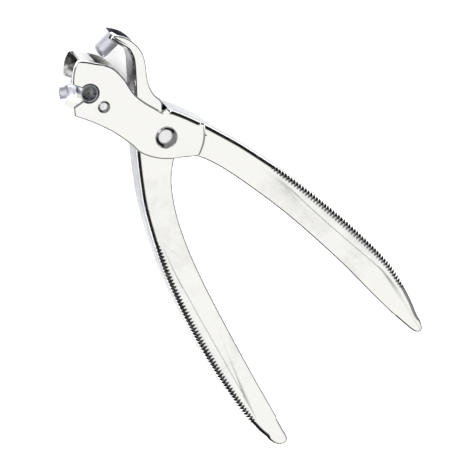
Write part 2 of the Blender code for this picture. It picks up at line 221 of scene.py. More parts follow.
def placed(points: np.ndarray, place: Matrix) -> np.ndarray:
    """Carries points into the part's frame."""
    matrix = np.array(place)
    return points @ matrix[:3, :3].T + matrix[:3, 3]


# Finishes


def new_group(name: str, inputs: dict, outputs: dict) -> bpy.types.NodeTree:
    """Makes an empty shader node group.

    Args:
        name: The group's name.
        inputs: Socket names and kinds, such as {"Scale": "Float"}.
        outputs: The same, for what the group puts out.

    Returns:
        The group's node tree, with its input and output nodes.
    """
    tree = bpy.data.node_groups.new(name, "ShaderNodeTree")
    for sockets, direction in ((inputs, "INPUT"), (outputs, "OUTPUT")):
        for socket, kind in sockets.items():
            tree.interface.new_socket(socket, in_out=direction, socket_type="NodeSocket" + kind)
    tree.nodes.new("NodeGroupInput")
    tree.nodes.new("NodeGroupOutput")
    return tree


def add_node(tree: bpy.types.NodeTree, kind: str, settings: dict | None = None, **links) -> bpy.types.Node:
    """Adds a node, sets its properties and fills its inputs.

    Args:
        tree: Where the node goes.
        kind: The node's type, without its ShaderNode prefix.
        settings: Properties of the node itself.
        **links: Inputs, written i0, i1 and so on or by name with underscores, each a socket or a value.

    Returns:
        The new node.
    """
    node = tree.nodes.new("ShaderNode" + kind)
    for key, value in (settings or {}).items():
        setattr(node, key, value)
    for key, value in links.items():
        numbered = key[0] == "i" and key[1:].isdigit()
        socket = node.inputs[int(key[1:])] if numbered else node.inputs[key.replace("_", " ")]
        if isinstance(value, bpy.types.NodeSocket):
            tree.links.new(value, socket)
        else:
            socket.default_value = value
    return node


def maths(tree: bpy.types.NodeTree, kind: str, first: Value, second: Value = 0.0) -> bpy.types.NodeSocket:
    """The output of a Math node with two inputs."""
    return add_node(tree, "Math", {"operation": kind}, i0=first, i1=second).outputs[0]


def remap(tree: bpy.types.NodeTree, value: Value, low: float, high: float) -> bpy.types.NodeSocket:
    """Spreads the stretch from low to high over 0 to 1, smoothly."""
    settings = {"interpolation_type": "SMOOTHSTEP"}
    return add_node(tree, "MapRange", settings, Value=value, From_Min=low, From_Max=high).outputs[0]


# Painted reflection: a dark line painted along sharp cut edges, standing in for the dim room mirrored in
# their rounded rim.
PAINTED_EDGE_LINE_COLOUR = (0.13, 0.13, 0.135)
# Painted shade: on the outer webs it stands in for a darker reflection, and on the inner surfaces for the
# shade inside the channel.
PAINTED_SHADE_COLOUR = (0.07, 0.08, 0.1)


class Effects:
    """Shader groups that the finishes share. Each is built once, the first time it is asked for."""

    @cached_property
    def smudges(self) -> bpy.types.NodeTree:
        """Handling marks: broad soft patches, broken up by a finer noise, from 0 to 1.

        Returns:
            The shared group.
        """
        tree = new_group("smudges", {"Vector": "Vector", "Scale": "Float"}, {"Mask": "Float"})
        source, result = tree.nodes
        place, scale = source.outputs[:2]
        broad = add_node(tree, "TexNoise", Vector=place, Scale=scale, Detail=3.0)
        close = maths(tree, "MULTIPLY", scale, 7.0)
        fine = add_node(tree, "TexNoise", Vector=place, Scale=close, Detail=5.0, Distortion=0.6)
        both = maths(tree, "MULTIPLY", remap(tree, broad.outputs[0], 0.42, 0.68), fine.outputs[0])
        tree.links.new(remap(tree, both, 0.15, 0.6), result.inputs[0])
        return tree

    @cached_property
    def scratches(self) -> bpy.types.NodeTree:
        """Hairline scratches: a noise drawn out along one axis, kept only near its peaks.

        Returns:
            The shared group.
        """
        tree = new_group("scratches", {"Vector": "Vector", "Scale": "Vector"}, {"Height": "Float"})
        source, result = tree.nodes
        place, scale = source.outputs[:2]
        lines = []
        for angle in (0.25, -0.6):
            drawn = add_node(tree, "Mapping", Vector=place, Rotation=(0, 0, angle), Scale=scale)
            noise = add_node(tree, "TexNoise", Vector=drawn.outputs[0], Scale=1.0, Detail=4.0)
            lines.append(remap(tree, noise.outputs[0], 0.58, 0.74))
        tree.links.new(maths(tree, "ADD", *lines), result.inputs[0])
        return tree

    @cached_property
    def rim_wear(self) -> bpy.types.NodeTree:
        """Wear on the bends: where the mesh says a rim is, broken up by noise.

        Returns:
            The shared group.
        """
        tree = new_group("rim_wear", {"Vector": "Vector", "Rim": "Float"}, {"Mask": "Float"})
        source, result = tree.nodes
        noise = add_node(tree, "TexNoise", Vector=source.outputs[0], Scale=420.0, Detail=6.0)
        worn = maths(tree, "MULTIPLY", source.outputs[1], remap(tree, noise.outputs[0], 0.42, 0.86))
        tree.links.new(worn, result.inputs[0])
        return tree


@dataclass(frozen=True)
class MetalFinish:
    """A plated or bare metal.

    Attributes:
        name: The material's name.
        colour: Its clean colour.
        dulled: Its colour where it is handled or worn.
        roughness: How matt it is where it is clean.
        dulled_roughness: How matt it is where it is handled.
        scratch_scale: How often scratches come along X, Y and Z, per metre.
        scratch_depth: How deep they look, in metres.
        smudge_scale: How often handling marks come, per metre.
    """

    name: str
    colour: tuple
    dulled: tuple
    roughness: float
    dulled_roughness: float
    scratch_scale: tuple
    scratch_depth: float
    smudge_scale: float

    def build(self, effects: Effects) -> bpy.types.Material:
        """Builds the material.

        Args:
            effects: The shared shader groups.

        Returns:
            The new material.
        """
        material = bpy.data.materials.new(self.name)
        material.use_nodes = True
        tree = material.node_tree
        shader = tree.nodes["Principled BSDF"]
        shader.inputs["Metallic"].default_value = 1.0
        place = add_node(tree, "TexCoord").outputs["Object"]

        masks = [
            add_node(tree, "Attribute", {"attribute_name": name}).outputs["Fac"]
            for name in ("worn", "painted_edge_line", "painted_shade")
        ]
        smudges, scratches, rim_wear = (
            {"node_tree": group} for group in (effects.smudges, effects.scratches, effects.rim_wear)
        )
        smudge = add_node(tree, "Group", smudges, Vector=place, Scale=self.smudge_scale).outputs[0]
        scratch = add_node(tree, "Group", scratches, Vector=place, Scale=self.scratch_scale).outputs[0]
        worn = add_node(tree, "Group", rim_wear, Vector=place, Rim=masks[0]).outputs[0]
        wear_and_shade = maths(tree, "MAXIMUM", maths(tree, "MULTIPLY", smudge, 0.75), worn)
        mix = {"data_type": "RGBA"}
        clean = add_node(tree, "Mix", mix, i0=wear_and_shade, i6=self.colour + (1,), i7=self.dulled + (1,)).outputs[2]
        # Painted reflection: sharp cut edges are darkened along a line, in place of the dim room mirrored in
        # their rim.
        with_painted_edge_line = add_node(tree, "Mix", mix, i0=masks[1], i6=clean, i7=PAINTED_EDGE_LINE_COLOUR + (1,)).outputs[2]
        # Painted shade: webs and hollows are darkened in place of their darker reflection and the shade
        # inside them.
        colour = add_node(tree, "Mix", mix, i0=masks[2], i6=with_painted_edge_line, i7=PAINTED_SHADE_COLOUR + (1,))
        rough = add_node(
            tree, "MapRange", Value=wear_and_shade, To_Min=self.roughness, To_Max=self.dulled_roughness
        ).outputs[0]
        # Extra roughness wherever the edge line or the shade is painted.
        painted_zone_roughness = maths(tree, "MULTIPLY", maths(tree, "MAXIMUM", masks[1], masks[2]), 0.16)
        rough = maths(tree, "ADD", rough, painted_zone_roughness)
        rough = maths(tree, "ADD", rough, maths(tree, "MULTIPLY", scratch, 0.06))
        bump = add_node(tree, "Bump", Height=scratch, Distance=self.scratch_depth, Strength=0.6)
        tree.links.new(colour.outputs[2], shader.inputs["Base Color"])
        tree.links.new(rough, shader.inputs["Roughness"])
        tree.links.new(bump.outputs[0], shader.inputs["Normal"])
        return material


@dataclass
class Workshop:
    """Hands out the finishes and notes what each piece is.

    Attributes:
        effects: The shared shader groups.
        materials: The materials built so far, by name.
    """

    effects: Effects = field(default_factory=Effects)
    materials: dict = field(default_factory=dict)

    def dress(self, obj: bpy.types.Object, finish: MetalFinish, body: Body, node: str) -> None:
        """Gives a piece its finish and its body, and hides the CAD node that it stands for.

        Args:
            obj: The piece, in place.
            finish: Its finish.
            body: What it moves with.
            node: The CAD node's name.
        """
        if finish.name not in self.materials:
            self.materials[finish.name] = finish.build(self.effects)
        obj.data.materials.append(self.materials[finish.name])
        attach(obj, body.value)
        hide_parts(node)
        LOG.info("%s: %d faces, rides on %s", obj.name, len(obj.data.polygons), body.value)


POLISHED_NICKEL = MetalFinish(
    name="polished nickel plate",
    colour=(0.93, 0.925, 0.895),
    dulled=(0.87, 0.865, 0.84),
    roughness=0.1,
    dulled_roughness=0.2,
    scratch_scale=(90.0, 1500.0, 1500.0),
    scratch_depth=0.000004,
    smudge_scale=38.0,
)
RIVET_NICKEL = MetalFinish(
    name="formed rivet nickel",
    colour=(0.82, 0.825, 0.82),
    dulled=(0.66, 0.665, 0.67),
    roughness=0.08,
    dulled_roughness=0.22,
    scratch_scale=(1900.0, 1900.0, 400.0),
    scratch_depth=0.000006,
    smudge_scale=170.0,
)
DIE_STEEL = MetalFinish(
    name="satin die steel",
    colour=(0.86, 0.87, 0.95),
    dulled=(0.72, 0.73, 0.82),
    roughness=0.42,
    dulled_roughness=0.52,
    scratch_scale=(2600.0, 500.0, 500.0),
    scratch_depth=0.00001,
    smudge_scale=150.0,
)
TURNED_STEEL = MetalFinish(
    name="turned post steel",
    colour=(0.7, 0.71, 0.74),
    dulled=(0.5, 0.51, 0.54),
    roughness=0.16,
    dulled_roughness=0.3,
    scratch_scale=(2800.0, 2800.0, 300.0),
    scratch_depth=0.000008,
    smudge_scale=220.0,
)
SPRING_STEEL = MetalFinish(
    name="drawn spring steel",
    colour=(0.42, 0.43, 0.45),
    dulled=(0.22, 0.22, 0.23),
    roughness=0.22,
    dulled_roughness=0.42,
    scratch_scale=(300.0, 300.0, 2600.0),
    scratch_depth=0.00001,
    smudge_scale=260.0,
)


# Pressed channels


@dataclass
class Stretch:
    """One stretch of a lever's outline.

    Attributes:
        points: Plan points in millimetres, counter-clockwise round the lever.
        edge: Whether the sheet is cut or bent along it.
        radius: The edge's outer radius in millimetres.
        spans: How finely the spline between the points is cut, or 0 to keep the points as they are.
        wear_and_shade: How much painted shade the web gets, from 0 to 1, standing in for the darker
            reflection that it would show.
        grip: Whether it carries the grip's serrations on a wide, lens-shaped shoulder.
    """

    points: list | np.ndarray
    edge: Edge = Edge.CUT
    radius: float = 0.52
    spans: int = 8
    wear_and_shade: float = 0.0
    grip: bool = False


@dataclass
class Channel:
    """A pressed channel: two flat walls, joined by a web along the bent stretches of their outline.

    The outer surface is a stack of rings. A ring is the plan outline moved in by r (1 - sin a), at r (1 -
    cos a) below the wall's face, where r is the edge's own radius and a runs from 0 on the face to 90
    degrees on the side. On a grip, a starts at a larger angle b, and a lens-shaped panel leads up to it: its
    width is w sin(pi t), where t runs from 0 to 1 along the grip, and its fall grows with the square of the
    distance into it, until it slopes by b. Serrations cut into the shoulder by d (1 - cos(2 pi s / p)) / 2
    at a distance s along the outline. The inner surface is made of the same rings one sheet's thickness
    further in, without the grip. Where the outline is cut, the side is left out of both surfaces, and short
    faces join their rims.

    Attributes:
        name: The object's name.
        width: The distance between the outer faces of its walls.
        stretches: The outline.
        round_steps: How many rings an edge has.
        tooth_depth: How deep the serrations are.
        tooth_pitch: How far apart the serrations are.
        panel_width: The panel's greatest width.
        panel_slope: The panel's greatest slope, in degrees.
        groove_depth: How deep the line is that borders the panel.
        corner_room: How much outline is left free of points on both sides of a corner.
        inside_painted_shade: How much painted shade the inner surface gets, from 0 to 1.
        sharpest: Cut edges below this radius, in millimetres, get a painted dark line, standing in for the
            reflection of the dim room on their rounded rim.
    """

    name: str
    width: float
    stretches: list
    round_steps: int = 13
    tooth_depth: float = 0.24 * MM
    tooth_pitch: float = 1.4 * MM
    panel_width: float = 3.4 * MM
    panel_slope: float = 14.0
    groove_depth: float = 0.06 * MM
    corner_room: float = 1.1 * MM
    inside_painted_shade: float = 0.0
    sharpest: float = 0.6

    def outline(self) -> tuple:
        """Joins the stretches, and leaves out points too near a corner for rings to be moved in past them.

        Returns:
            The plan points, and for each point its edge radius, whether it is on a bend, how much painted
            shade the web has there, how strong the serrations are and how wide its share of the panel is.
        """
        parts = []
        for stretch in self.stretches:
            plan = np.asarray(stretch.points, float)
            if stretch.spans:
                plan = spline(plan, stretch.spans)
            count = len(plan)
            share = np.linspace(0, 1, count)
            parts.append(
                (
                    plan * MM,
                    np.full(count, stretch.radius * MM),
                    np.full(count, stretch.edge is Edge.BEND),
                    np.full(count, stretch.wear_and_shade),
                    np.clip(np.minimum(share, 1 - share) * 12, 0, 1) * stretch.grip,
                    np.sin(np.pi * share) * stretch.grip,
                )
            )
        joined = [np.concatenate(column) for column in zip(*parts)]
        step = np.linalg.norm(joined[0] - np.roll(joined[0], 1, axis=0), axis=1)
        joined = [column[step > 1e-6] for column in joined]
        along = np.roll(joined[0], -1, axis=0) - joined[0]
        heading = np.arctan2(along[:, 1], along[:, 0])
        bend = np.angle(np.exp(1j * (heading - np.roll(heading, 1))))
        corner = np.abs(bend) > np.radians(30)
        away = np.linalg.norm(joined[0][:, None] - joined[0][corner][None], axis=2).min(axis=1)
        kept = corner | (away > self.corner_room)
        return tuple(column[kept] for column in joined)

    @staticmethod
    def mitres(points: np.ndarray, bent_edge: np.ndarray) -> np.ndarray:
        """How far each corner moves when every edge moves in by one unit.

        Between edges with normals m and n it moves by (m + n) / (1 + m . n). Where a bend starts or ends,
        it moves square to the bend only.

        Args:
            points: The plan outline.
            bent_edge: For each point, whether the edge after it is bent.

        Returns:
            An (n, 2) array.
        """
        along = np.roll(points, -1, axis=0) - points
        after = np.stack([-along[:, 1], along[:, 0]], -1)
        after /= np.linalg.norm(after, axis=1, keepdims=True)
        before, bent_before = np.roll(after, 1, axis=0), np.roll(bent_edge, 1)
        lean = (before + after) / np.maximum(0.35, 1 + np.sum(before * after, axis=1))[:, None]
        lean = np.where((bent_edge & ~bent_before)[:, None], after, lean)
        return np.where((bent_before & ~bent_edge)[:, None], before, lean)

    @staticmethod
    def blended(values: np.ndarray, inside: np.ndarray, rounds: int) -> np.ndarray:
        """Averages values with their neighbours.

        Args:
            values: One for each point of the outline.
            inside: Which of them change.
            rounds: How many times.

        Returns:
            The smoother values.
        """
        for _ in range(rounds):
            average = (np.roll(values, 1) + values + np.roll(values, -1)) / 3
            values = np.where(inside, average, values)
        return values

    def build(self) -> bpy.types.Object:
        """Builds the channel as one closed sheet of metal.

        Returns:
            The new object.
        """
        points, radii, bends, wear_and_shade, teeth, panel = self.outline()
        count = len(points)
        bent_edge = bends & np.roll(bends, -1)
        inside = bent_edge == np.roll(bent_edge, 1)
        radii, wear_and_shade = self.blended(radii, inside, 10), self.blended(wear_and_shade, inside, 60)
        lean = self.mitres(points, bent_edge)
        step = np.linalg.norm(np.diff(points, axis=0), axis=1)
        travel = np.concatenate([[0], np.cumsum(step)])
        bite = teeth * (0.5 - 0.5 * np.cos(2 * np.pi * travel / self.tooth_pitch)) * self.tooth_depth
        share = np.linspace(0, 1, self.round_steps)
        turn = share * np.pi / 2
        gaps = np.array([0.3, 0.22, 0.08, 0.0]) * MM
        grooved = np.array([0.0, 1.0, 1.0, 0.0])
        panel_steps = np.linspace(0.2, 0.8, 4)

        def surface(start: np.ndarray, radius: np.ndarray, half: float, detail: float) -> np.ndarray:
            """One side's rings, from the flat of the wall to the middle of the side.

            Args:
                start: How far inside the outline each point's side is.
                radius: Each point's edge radius.
                half: The wall face's distance from mid-height.
                detail: 1 with the grip, 0 without it.

            Returns:
                A (ring, point, 3) array.
            """
            wide = panel * self.panel_width * detail
            first = np.radians(self.panel_slope) * panel * detail
            base = start + radius * (1 - np.sin(first))
            inset = [base + wide + gap for gap in gaps] + [base + wide * (1 - u) for u in panel_steps]
            drop = [np.sqrt(panel) * self.groove_depth * deep * detail for deep in grooved]
            drop += [wide * np.tan(first) * u**2 / 2 for u in panel_steps]
            fall = wide * np.tan(first) / 2 + radius * np.cos(first)
            for part in share:
                a = first + (np.pi / 2 - first) * part
                cut = bite * detail * np.sin(np.minimum(3 * a, np.pi))
                inset.append(start + radius * (1 - np.sin(a)) + cut * np.sin(a))
                drop.append(fall - radius * np.cos(a) + cut * np.cos(a))
            plan = points[None] + lean[None] * np.array(inset)[..., None]
            return np.concatenate([plan, (half - np.array(drop))[..., None]], -1)

        outer = surface(np.zeros(count), radii, self.width / 2, 1.0)
        hollow = np.where(bends, SHEET, 0.0)
        hollow_radius = np.where(bends, np.maximum(radii - SHEET, 0.15 * MM), 0.12 * MM)
        inner = surface(hollow, hollow_radius, self.width / 2 - SHEET, 0.0)
        mirror = np.array([1.0, 1.0, -1.0])
        sheets = [np.concatenate([side, side[::-1] * mirror]) for side in (outer, inner)]
        rows, middle, size = len(sheets[0]), len(outer) - 1, len(sheets[0]) * count

        shell = grid_faces(rows, count, False, True)
        row, column = shell[:, 0] // count, shell[:, 0] % count
        missing = (row == middle) & ~bent_edge[column]
        gap = shell[missing]
        sides = (gap[:, :2], gap[:, 2:])
        rims = [np.stack([k[:, 0], k[:, 1], k[:, 1] + size, k[:, 0] + size], -1) for k in sides]
        cut = ~bent_edge
        first = np.nonzero(cut & ~np.roll(cut, 1))[0]
        last = (np.nonzero(cut & ~np.roll(cut, -1))[0] + 1) % count
        for end in (first, last):
            low, high = middle * count + end, (middle + 1) * count + end
            rims.append(np.stack([low, high, high + size, low + size], -1))
        loop = np.arange(count)
        caps = [(loop + k).tolist() for k in (0, (rows - 1) * count, size, size + (rows - 1) * count)]

        stack = np.concatenate(sheets).reshape(-1, 3) + np.array([0, 0, MID_HEIGHT])
        obj = add_mesh(self.name, stack, [shell[~missing], shell[~missing] + size, *rims, caps], 32)
        flat = np.zeros(len(outer) - self.round_steps)
        profiles = (np.sin(2 * turn), np.sqrt(np.sin(turn)), np.clip(np.sin(turn) * 3.6 - 2.3, 0, 1))
        halves = [np.concatenate([flat, profile]) for profile in profiles]
        shoulder, edge, side = (np.concatenate([half, half[::-1]])[:, None] for half in halves)
        none = 0.0 * side * bends
        inside = np.maximum(side * bends, self.inside_painted_shade)
        write_attribute(obj, "worn", np.concatenate([(shoulder * bends).ravel(), none.ravel()]))
        # Painted reflection: a dark line is painted on sharp cut edges, in place of the dim room mirrored in
        # their rounded rim.
        sharp_cut = ~bends & (radii < self.sharpest * MM)
        write_attribute(obj, "painted_edge_line", np.concatenate([(edge * sharp_cut).ravel(), none.ravel()]))
        # Painted shade: on the outer webs it stands in for a darker reflection, and on the inner surface for
        # the shade in the hollow.
        write_attribute(obj, "painted_shade", np.concatenate([(side * wear_and_shade).ravel(), inside.ravel()]))
        return obj


@dataclass
class LowerLever:
    """The lever with the wide head: plates with the keyhole and the nose bridge, and the first handle."""

    joggle_radius: float = 14.4
    keyhole_radius: float = 3.2

    def head(self) -> Channel:
        """The head: two plates, joined behind the hub by the web and at the front by the bridge.

        Returns:
            Its channel.
        """
        below = [(-31.6, -13.7), (-24.2, -11.4), (-16.4, -9.9), (-8.7, -9.5), (-4.8, -9.8), (-1.4, -9.2)]
        crotch = [(2.8, -7.5), (6.9, -4.7), (10.2, -1.6), (12.8, 0.5)]
        web = [(6.8, 11.87), (4.6, 11.4), (1.4, 10.7), (-2.6, 9.6), (-5.2, 8.8)]
        top = [(-7.0, 6.1), (-10.6, 5.5), (-15.0, 5.0), (-19.4, 5.1), (-22.9, 6.0), (-26.3, 7.1)]
        top += [(-31.7, 7.6), (-36.2, 6.3)]
        front = [(-43.4, 2.2), (-43.3, 0.9), (-42.3, -1.6), (-40.5, -4.2), (-39.35, -5.5)]
        keyhole = arc(POST_AXIS, self.keyhole_radius, 181, -89, 40)
        chin = [(-33.9, -11.5), (-32.3, -13.4)]
        return Channel(
            "lower_head",
            HEAD_WIDTH,
            [
                Stretch(below + crotch),
                Stretch(arc((0, 0), self.joggle_radius, 6, 53, 24), radius=1.1, spans=0),
                # The last number of each bent stretch is how much painted shade its web gets, in place of a
                # darker reflection.
                Stretch([(7.84, 12.08), (6.8, 11.87)], Edge.BEND, 0.9, 4, 0.86),
                Stretch(web, Edge.BEND, 2.4, 14, 0.86),
                Stretch([(-5.2, 8.8), (-6.6, 8.4)], Edge.BEND, 1.1, 4, 0.86),
                Stretch(top, spans=10),
                Stretch([(-37.9, 5.5), (-40.6, 4.2), (-42.9, 2.8)], Edge.BEND, 1.2, 12, 0.5),
                Stretch(front, spans=6),
                Stretch(keyhole, spans=0),
                Stretch(chin, spans=0),
            ],
        )

    def handle(self) -> Channel:
        """The handle, whose walls start under the joggle of the head plates.

        Returns:
            Its channel.
        """
        inner = [(13.6, 0.9), (17.8, 2.4), (26.9, 3.7), (40.9, 4.4), (55.1, 4.5), (70.3, 3.8), (85.8, 2.6)]
        inner += [(100.6, 0.8), (114.0, -0.6)]
        tip = [(114.6, -0.7), (118.5, -0.9), (122.5, -1.0), (124.9, -0.7), (126.5, 0.7), (125.9, 2.4)]
        tip += [(123.0, 4.4)]
        heel = [(117.0, 7.6), (113.6, 9.1), (110.2, 10.4)]
        grip = [(98.3, 13.8), (82.4, 15.6), (67.4, 16.3), (52.9, 16.3)]
        neck = [(38.7, 15.8), (25.4, 14.7), (15.5, 13.3), (8.2, 12.1)]
        return Channel(
            "lower_handle",
            HANDLE_WIDTH,
            [
                Stretch(inner, spans=16),
                # The last number of each bent stretch is how much painted shade its web gets, in place of a
                # darker reflection.
                Stretch(tip, Edge.BEND, 1.0, 8, 0.86),
                Stretch([tip[-1]] + heel, Edge.BEND, 2.4, 10, 0.86),
                Stretch(heel[-1:] + grip + neck[:1], Edge.BEND, 2.4, 70, 0.86, grip=True),
                Stretch(neck, Edge.BEND, 2.4, 14, 0.86),
                Stretch(arc((0, 0), 13.0, 38, 16, 12), spans=0),
            ],
        )

    def build(self, workshop: Workshop) -> None:
        """Builds both parts of the lever.

        Args:
            workshop: Gives them their finish.
        """
        for channel in (self.head(), self.handle()):
            workshop.dress(channel.build(), POLISHED_NICKEL, Body.LOWER, "lower_lever")


@dataclass
class UpperLever:
    """The lever that runs inside the head: hook, swan neck, hub and the second handle in one channel."""

    hub_radius: float = 7.5

    def channel(self) -> Channel:
        """The whole lever, with its web on the side of the palm and under the hook.

        Returns:
            Its channel.
        """
        hook = [(-38.5, 14.74), (-36.0, 15.0), (-33.4, 15.27), (-31.2, 15.5), (-29.2, 14.9)]
        neck = [(-26.8, 13.4), (-22.4, 9.0), (-18.0, 4.2), (-13.2, -1.2), (-8.8, -6.4)]
        waist = [(-4.1, -11.2), (4.1, -18.8), (12.0, -25.4), (22.7, -32.7)]
        grip = [(35.2, -40.0), (49.7, -47.1), (63.1, -52.7), (76.4, -57.5), (89.9, -61.5), (97.5, -63.3)]
        heel = [(102.0, -64.0), (106.5, -64.2)]
        tip = [(110.2, -63.6), (112.2, -62.2), (112.8, -60.2), (111.4, -58.6), (108.2, -57.4), (104.2, -55.8)]
        inner = [(103.6, -55.6), (100.4, -54.3), (88.1, -49.6), (74.8, -44.3), (60.7, -38.5), (47.4, -32.8)]
        inner += [(34.2, -26.4), (22.7, -19.5), (13.8, -12.2), (9.4, -6.6), (7.2, -2.6)]
        rear = [(-6.4, 6.5), (-7.4, 7.0), (-8.4, 8.1), (-10.2, 9.0), (-13.2, 9.2), (-16.4, 10.4)]
        rear += [(-19.4, 12.6)]
        crown = [(-22.4, 15.4), (-26.0, 17.9), (-30.0, 18.9), (-34.0, 18.7), (-37.2, 17.5), (-38.9, 16.6)]
        return Channel(
            "upper_lever_channel",
            INNER_WIDTH,
            [
                # The last number of each bent stretch is how much painted shade its web gets, in place of a
                # darker reflection.
                Stretch(hook + neck[:-1], Edge.BEND, 1.3, 12, 0.8),
                Stretch(neck[-2:] + waist, Edge.BEND, 2.4, 14, 0.86),
                Stretch(waist[-1:] + grip, Edge.BEND, 2.4, 70, 0.86, grip=True),
                Stretch(grip[-1:] + heel, Edge.BEND, 2.4, 12, 0.86),
                Stretch(heel[-1:] + tip, Edge.BEND, 1.0, 8, 0.86),
                Stretch(inner, spans=14),
                Stretch(arc((0, 0), self.hub_radius, -16, 116, 30), spans=0),
                Stretch(rear + crown, spans=8),
            ],
            # Painted shade on the inner surface, standing in for the shadow inside the hook and the neck.
            inside_painted_shade=0.9,
        )

    def build(self, workshop: Workshop) -> None:
        """Builds the lever.

        Args:
            workshop: Gives it its finish.
        """
        workshop.dress(self.channel().build(), POLISHED_NICKEL, Body.UPPER_JAW, "upper_lever")


# Turned and drawn pieces


def revolved(profile: np.ndarray, segments: int) -> np.ndarray:
    """Rings of points: each (radius, height) of the profile carried round Z."""
    turn = np.linspace(0, 2 * np.pi, segments, endpoint=False)
    radius, height = profile[:, :1], profile[:, 1:]
    return np.stack([radius * np.cos(turn), radius * np.sin(turn), height + 0 * turn], -1)


def turned(
    name: str, profile: np.ndarray, place: Matrix, closed: bool = False, segments: int = 72
) -> bpy.types.Object:
    """A piece of the lathe: its profile of (radius, height) carried round the frame's Z.

    Args:
        name: The object's name.
        profile: An (n, 2) array in metres. Its first and last rings are closed by flat discs.
        place: The frame that it is turned about.
        closed: Whether the profile is a ring of its own, as for a tube, so that no disc is needed.
        segments: How many points each ring has.

    Returns:
        The new object.
    """
    rows = len(profile)
    faces = [grid_faces(rows, segments, closed, True)]
    if not closed:
        faces.append(end_faces(rows, segments))
    return add_mesh(name, placed(revolved(profile, segments).reshape(-1, 3), place), faces)


def tube(name: str, bore: float, outer: float, reach: float, soft: float, place: Matrix) -> bpy.types.Object:
    """A tube between two radii, reaching this far both ways along the frame's Z, with softened ends."""
    corners = np.array([(bore, -reach), (outer, -reach), (outer, reach), (bore, reach)])
    return turned(name, rounded(corners, soft, closed=True), place, closed=True)


def dome(radius: float, height: float, base: float, spans: int = 14) -> np.ndarray:
    """The profile of a rivet's head: a quarter of an ellipse above a short straight rim."""
    angle = np.linspace(0, np.radians(87), spans)
    return np.stack([radius * np.cos(angle), base + height * np.sin(angle)], -1)


def swept(name: str, path: np.ndarray, axis: tuple, section: np.ndarray) -> bpy.types.Object:
    """A section carried along a path: its first axis lies across the path and the given axis.

    Args:
        name: The object's name.
        path: An (n, 3) array in metres.
        axis: A direction that the path never takes.
        section: A (k, 2) array, closed.

    Returns:
        The new object, with flat ends.
    """
    along = np.gradient(path, axis=0)
    across = np.cross(along, np.asarray(axis, float))
    across /= np.linalg.norm(across, axis=1, keepdims=True)
    up = np.cross(across, along)
    up /= np.linalg.norm(up, axis=1, keepdims=True)
    grid = path[:, None] + across[:, None] * section[None, :, :1] + up[:, None] * section[None, :, 1:]
    rows, columns = grid.shape[:2]
    faces = [grid_faces(rows, columns, False, True), end_faces(rows, columns)]
    return add_mesh(name, grid.reshape(-1, 3), faces)


def domed_rivet(
    name: str, place: Matrix, shank: float, head: float, dome_height: float, foot: list, soft: float,
    segments: int,
) -> bpy.types.Object:
    """A rivet through the head plates: a flat formed foot, the shank and a domed head.

    Args:
        name: The object's name.
        place: The frame whose Z is its axis.
        shank: The shank's radius.
        head: The head's radius.
        dome_height: How high the dome stands.
        foot: The foot's profile, as radii and heights from the face of the plate.
        soft: How far corners are rounded.
        segments: How many points each ring has.

    Returns:
        The new object.
    """
    reach = HEAD_WIDTH / 2 + SEAT_GAP
    low = [(radius, height - reach) for radius, height in foot]
    stem = [(head, -reach), (shank, -reach), (shank, reach), (head - 0.02 * MM, reach)]
    crown = dome(head, dome_height, reach + 0.01 * MM)
    return turned(name, np.vstack([rounded(np.array(low + stem), soft), crown]), place, segments=segments)


@dataclass
class Pivot:
    """The big rivet, the bush on it and the return spring round the bush."""

    shank: float = 2.5 * MM
    head: float = 4.0 * MM
    dome_height: float = 1.5 * MM
    foot_height: float = 1.2 * MM
    bush: float = 3.5 * MM
    coil: float = 4.7
    wire: float = 0.5 * MM
    turns: float = 3.55
    pitch: float = 1.35

    def rivet(self) -> bpy.types.Object:
        """The big rivet, its foot the flat that the tool lies on.

        Returns:
            The new object.
        """
        base = -self.foot_height
        foot = [(0.3 * MM, base), (self.head * 0.78, base), (self.head, base + 0.55 * MM)]
        sizes = (self.shank, self.head, self.dome_height, foot, 0.2 * MM, 96)
        return domed_rivet("domed_pivot_rivet", upright(0, 0), *sizes)

    def bush_tube(self) -> bpy.types.Object:
        """The tube that keeps the inner lever's walls apart."""
        reach = INNER_WIDTH / 2 - SHEET - SEAT_GAP
        return tube("spacer_bush", self.shank + 0.1 * MM, self.bush, reach, 0.12 * MM, upright(0, 0))

    def spring(self) -> bpy.types.Object:
        """The return spring: a helix round the bush, run out tangent into one leg for each handle.

        Returns:
            The new object.
        """
        turn = np.radians(62) - np.linspace(0, 2 * np.pi * self.turns, 260)
        rise = self.turns * self.pitch
        height = np.linspace(rise / 2, -rise / 2, 260)
        coil = np.stack([self.coil * np.cos(turn), self.coil * np.sin(turn), height], -1)
        first = np.array([(24.0, 12.4, rise / 2), (14.5, 9.9, rise / 2), (7.0, 6.7, rise / 2)])
        last = np.array([(1.5, -9.8, -rise / 2), (8.2, -19.9, -rise / 2), (13.0, -23.9, -rise / 2)])
        ends = [spline(np.vstack([first, coil[:1]]), 8)[:-1], spline(np.vstack([coil[-1:], last]), 8)[1:]]
        path = np.vstack([ends[0], coil, ends[1]]) * MM + np.array([0, 0, MID_HEIGHT])
        section = arc((0, 0), self.wire, 0, 360, 14)[:-1]
        return swept("wound_return_spring", path, (0, 0, 1), section)

    def build(self, workshop: Workshop) -> None:
        """Builds the three pieces.

        Args:
            workshop: Gives them their finishes.
        """
        workshop.dress(self.rivet(), RIVET_NICKEL, Body.LOWER, "pivot_rivet")
        workshop.dress(self.bush_tube(), TURNED_STEEL, Body.LOWER, "pivot_bush")
        workshop.dress(self.spring(), SPRING_STEEL, Body.LOWER, "return_spring")


